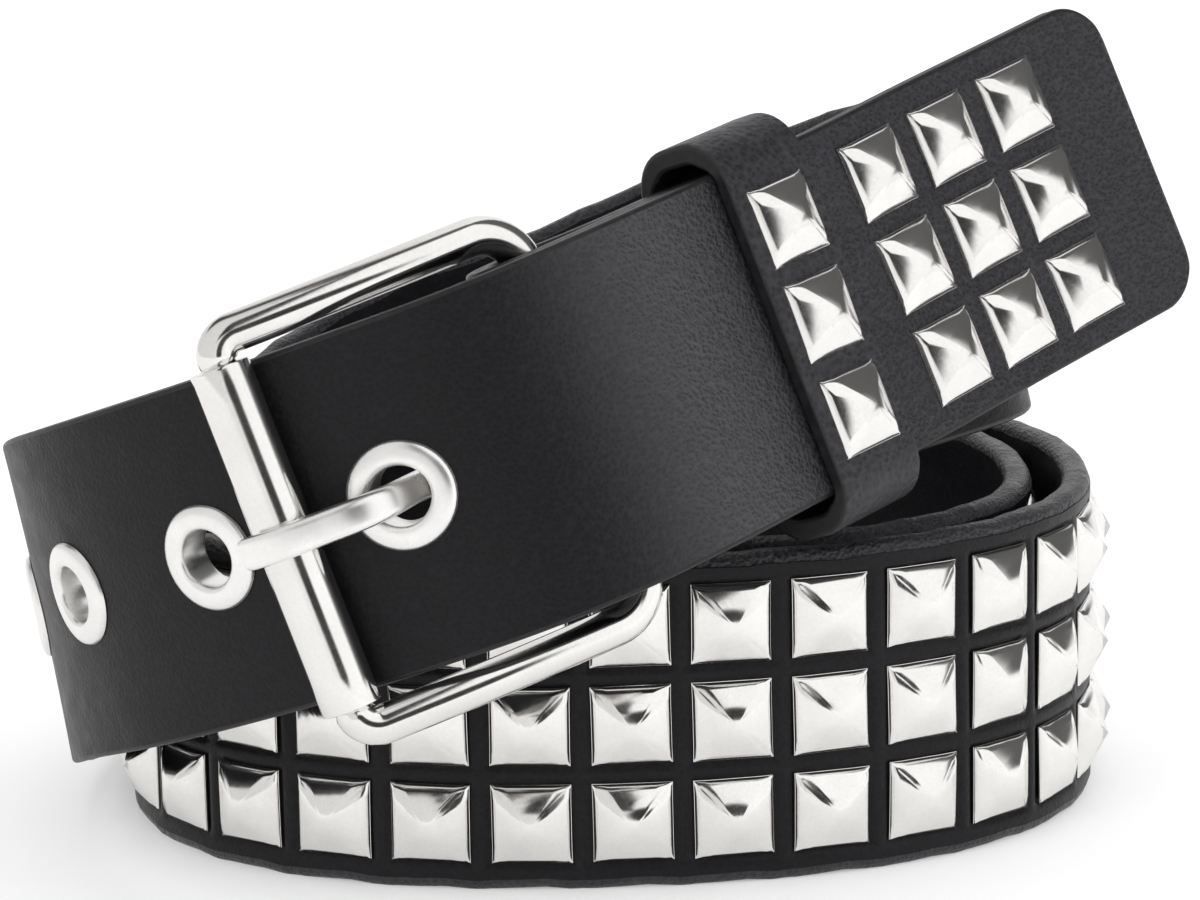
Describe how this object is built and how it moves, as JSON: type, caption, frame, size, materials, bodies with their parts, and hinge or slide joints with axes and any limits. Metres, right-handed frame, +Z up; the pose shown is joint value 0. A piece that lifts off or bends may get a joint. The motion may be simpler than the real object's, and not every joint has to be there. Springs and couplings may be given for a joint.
{
  "type": "studded belt",
  "caption": "Black belt with rows of pyramid studs, eyelets, a fastened roller buckle and a loop, wound in turns that stand on their lower edge.",
  "frame": {"origin": "on the ground under the middle of the whole fastened and wound belt", "axes": "+Z up; the buckle, its prong and the eyelets on the -Y side; the free tip runs to +X"},
  "size_m": [0.14, 0.127, 0.093],
  "materials": {
    "leather": "fine-grained black leather, satin",
    "stud_metal": "polished nickel plate, pressed sheet",
    "eyelet_metal": "polished nickel plate, rolled rims",
    "buckle_metal": "polished nickel plate, cast"
  },
  "bodies": {
    "root": {"strap": "leather", "stud_field": "stud_metal", "eyelet_1": "eyelet_metal", "eyelet_2": "eyelet_metal", "eyelet_3": "eyelet_metal", "eyelet_4": "eyelet_metal", "eyelet_5": "eyelet_metal", "eyelet_6": "eyelet_metal", "tip_stud_1a": "stud_metal", "tip_stud_1b": "stud_metal", "tip_stud_1c": "stud_metal", "tip_stud_2a": "stud_metal", "tip_stud_2b": "stud_metal", "tip_stud_2c": "stud_metal", "tip_stud_3a": "stud_metal", "tip_stud_3b": "stud_metal", "tip_stud_3c": "stud_metal", "keeper": "leather", "keeper_stud_a": "stud_metal", "keeper_stud_b": "stud_metal", "keeper_stud_c": "stud_metal", "buckle_frame": "buckle_metal", "roller": "buckle_metal", "prong": "buckle_metal"}
  },
  "joints": []
}
